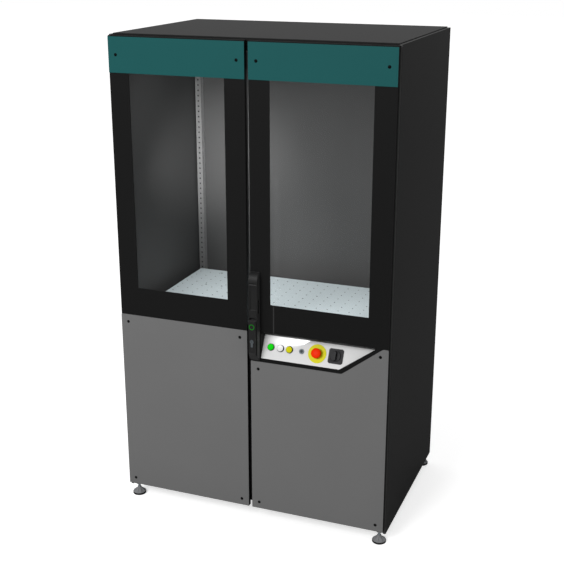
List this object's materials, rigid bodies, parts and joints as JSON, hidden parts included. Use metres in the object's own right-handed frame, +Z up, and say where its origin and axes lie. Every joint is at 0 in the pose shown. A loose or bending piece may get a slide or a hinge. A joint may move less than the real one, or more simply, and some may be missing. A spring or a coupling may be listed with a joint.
{
  "type": "robot controller cabinet",
  "caption": "Free-standing double-door cabinet with glazed upper doors, inclined operating console, perforated work plate and closed electronics compartment.",
  "frame": {"origin": "centre of the footprint at floor level", "axes": "+Z up, front of the doors towards -Y, +X to the right seen from the front"},
  "size_m": [1.214, 0.859, 2.081],
  "materials": {
    "frame_black": "fine satin powder coat",
    "upright_grey": "grey powder coat, punched holes",
    "roof_grey": "satin powder coat",
    "panel_black": "satin black powder coat",
    "zinc_sheet": "zinc plated sheet",
    "table_aluminium": "milled and anodised plate",
    "duct_grey": "grey slotted plastic",
    "module_dark": "dark moulded housing",
    "supply_case": "folded sheet case",
    "controller_case": "fine textured paint",
    "pin_steel": "turned steel",
    "foot_nylon": "glass filled nylon",
    "black_rubber": "matt rubber",
    "door_black": "satin black powder coat",
    "window_glass": "clear polycarbonate glazing",
    "header_teal": "satin powder coat",
    "front_grey": "satin powder coat",
    "screw_black": "blackened steel",
    "console_white": "white powder coat",
    "bezel_dark": "moulded plastic",
    "stop_yellow": "gloss plastic",
    "stop_red": "gloss plastic",
    "handle_dark": "fine grained polyamide",
    "ring_green": "coloured ring",
    "cylinder_nickel": "satin nickel",
    "cap_green": "gloss cap",
    "cap_white": "gloss cap",
    "cap_yellow": "gloss cap"
  },
  "bodies": {
    "cabinet": {"base_frame": "frame_black", "top_frame": "frame_black", "front_left_upright": "upright_grey", "front_right_upright": "upright_grey", "rear_left_upright": "upright_grey", "rear_right_upright": "upright_grey", "roof_plate": "roof_grey", "left_side_panel": "panel_black", "right_side_panel": "panel_black", "rear_panel": "panel_black", "floor_plate": "zinc_sheet", "table_supports": "zinc_sheet", "table_plate": "table_aluminium", "mounting_plate": "zinc_sheet", "din_rails": "zinc_sheet", "wiring_ducts": "duct_grey", "drive_modules": "module_dark", "power_supply": "supply_case", "controller_unit": "controller_case", "switchgear": "module_dark", "hinge_arms": "zinc_sheet", "hinge_pins": "pin_steel", "foot_spindles": "pin_steel", "foot_plates": "foot_nylon", "foot_pads": "black_rubber"},
    "left_door": {"left_door_shell": "door_black", "left_window_pane": "window_glass", "left_door_seals": "black_rubber", "left_header_bar": "header_teal", "left_lower_panel": "front_grey", "left_panel_screws": "screw_black", "left_meeting_strip": "door_black"},
    "right_door": {"right_door_shell": "door_black", "right_window_pane": "window_glass", "right_door_seals": "black_rubber", "right_header_bar": "header_teal", "right_lower_panel": "front_grey", "right_panel_screws": "screw_black", "console_housing": "door_black", "console_face": "console_white", "control_bezels": "bezel_dark", "estop_collar": "stop_yellow", "main_switch_plate": "bezel_dark", "handle_housing": "handle_dark", "lock_block": "handle_dark", "lock_case": "zinc_sheet", "release_ring": "ring_green", "lock_cylinder": "cylinder_nickel"},
    "green_button": {"green_button": "cap_green"},
    "white_button": {"white_button": "cap_white"},
    "yellow_button": {"yellow_button": "cap_yellow"},
    "key_rotor": {"key_rotor": "pin_steel"},
    "estop_stem": {"estop_stem": "stop_red"},
    "estop_head": {"estop_head": "stop_red"},
    "main_switch_knob": {"main_switch_knob": "bezel_dark"},
    "handle_lever": {"handle_lever": "handle_dark"},
    "release_button": {"release_button": "handle_dark"},
    "lock_plug": {"lock_plug": "cylinder_nickel"},
    "upper_lock_rod": {"upper_lock_rod": "zinc_sheet"},
    "lower_lock_rod": {"lower_lock_rod": "zinc_sheet"}
  },
  "joints": [
    {"name": "left_door_hinge", "type": "hinge", "parent": "cabinet", "child": "left_door", "pos_m": [-0.592, -0.3785, 1.07], "axis": [0, 0, -1], "range_deg": [0, 110]},
    {"name": "right_door_hinge", "type": "hinge", "parent": "cabinet", "child": "right_door", "pos_m": [0.592, -0.3785, 1.07], "axis": [0, 0, 1], "range_deg": [0, 110]},
    {"name": "handle_tilt", "type": "hinge", "parent": "right_door", "child": "handle_lever", "pos_m": [0.02975, -0.404, 1.1015], "axis": [-1, 0, 0], "range_deg": [0, 40]},
    {"name": "upper_rod_slide", "type": "slide", "parent": "right_door", "child": "upper_lock_rod", "axis": [0, 0, -1], "range_m": [0, 0.0175]},
    {"name": "lower_rod_slide", "type": "slide", "parent": "right_door", "child": "lower_lock_rod", "axis": [0, 0, 1], "range_m": [0, 0.0175]},
    {"name": "green_button_press", "type": "slide", "parent": "right_door", "child": "green_button", "axis": [0, 0.8829, -0.4695], "range_m": [0, 0.004], "stiffness_N_per_m": 1000, "springref_m": -0.002},
    {"name": "white_button_press", "type": "slide", "parent": "right_door", "child": "white_button", "axis": [0, 0.8829, -0.4695], "range_m": [0, 0.004], "stiffness_N_per_m": 1000, "springref_m": -0.002},
    {"name": "yellow_button_press", "type": "slide", "parent": "right_door", "child": "yellow_button", "axis": [0, 0.8829, -0.4695], "range_m": [0, 0.004], "stiffness_N_per_m": 1000, "springref_m": -0.002},
    {"name": "key_turn", "type": "hinge", "parent": "right_door", "child": "key_rotor", "pos_m": [0.224, -0.36132, 0.82447], "axis": [0, 0.8829, -0.4695], "range_deg": [0, 90]},
    {"name": "estop_press", "type": "slide", "parent": "right_door", "child": "estop_stem", "axis": [0, 0.8829, -0.4695], "range_m": [0, 0.005]},
    {"name": "estop_twist", "type": "hinge", "parent": "estop_stem", "child": "estop_head", "pos_m": [0.292, -0.37192, 0.83011], "axis": [0, 0.8829, -0.4695], "range_deg": [0, 45], "stiffness_Nm_per_rad": 0.1},
    {"name": "main_switch_turn", "type": "hinge", "parent": "right_door", "child": "main_switch_knob", "pos_m": [0.3725, -0.36132, 0.82447], "axis": [0, 0.8829, -0.4695], "range_deg": [0, 90]},
    {"name": "release_press", "type": "slide", "parent": "right_door", "child": "release_button", "axis": [0, 1, 0], "range_m": [0, 0.002], "stiffness_N_per_m": 1000, "springref_m": -0.001},
    {"name": "lock_plug_turn", "type": "hinge", "parent": "right_door", "child": "lock_plug", "pos_m": [0.02975, -0.4285, 0.8635], "axis": [0, 1, 0], "range_deg": [0, 90]}
  ],
  "couplings": [
    {"joint": "upper_rod_slide", "follows": "handle_tilt", "m_per_rad": 0.02506},
    {"joint": "lower_rod_slide", "follows": "handle_tilt", "m_per_rad": 0.02506}
  ]
}
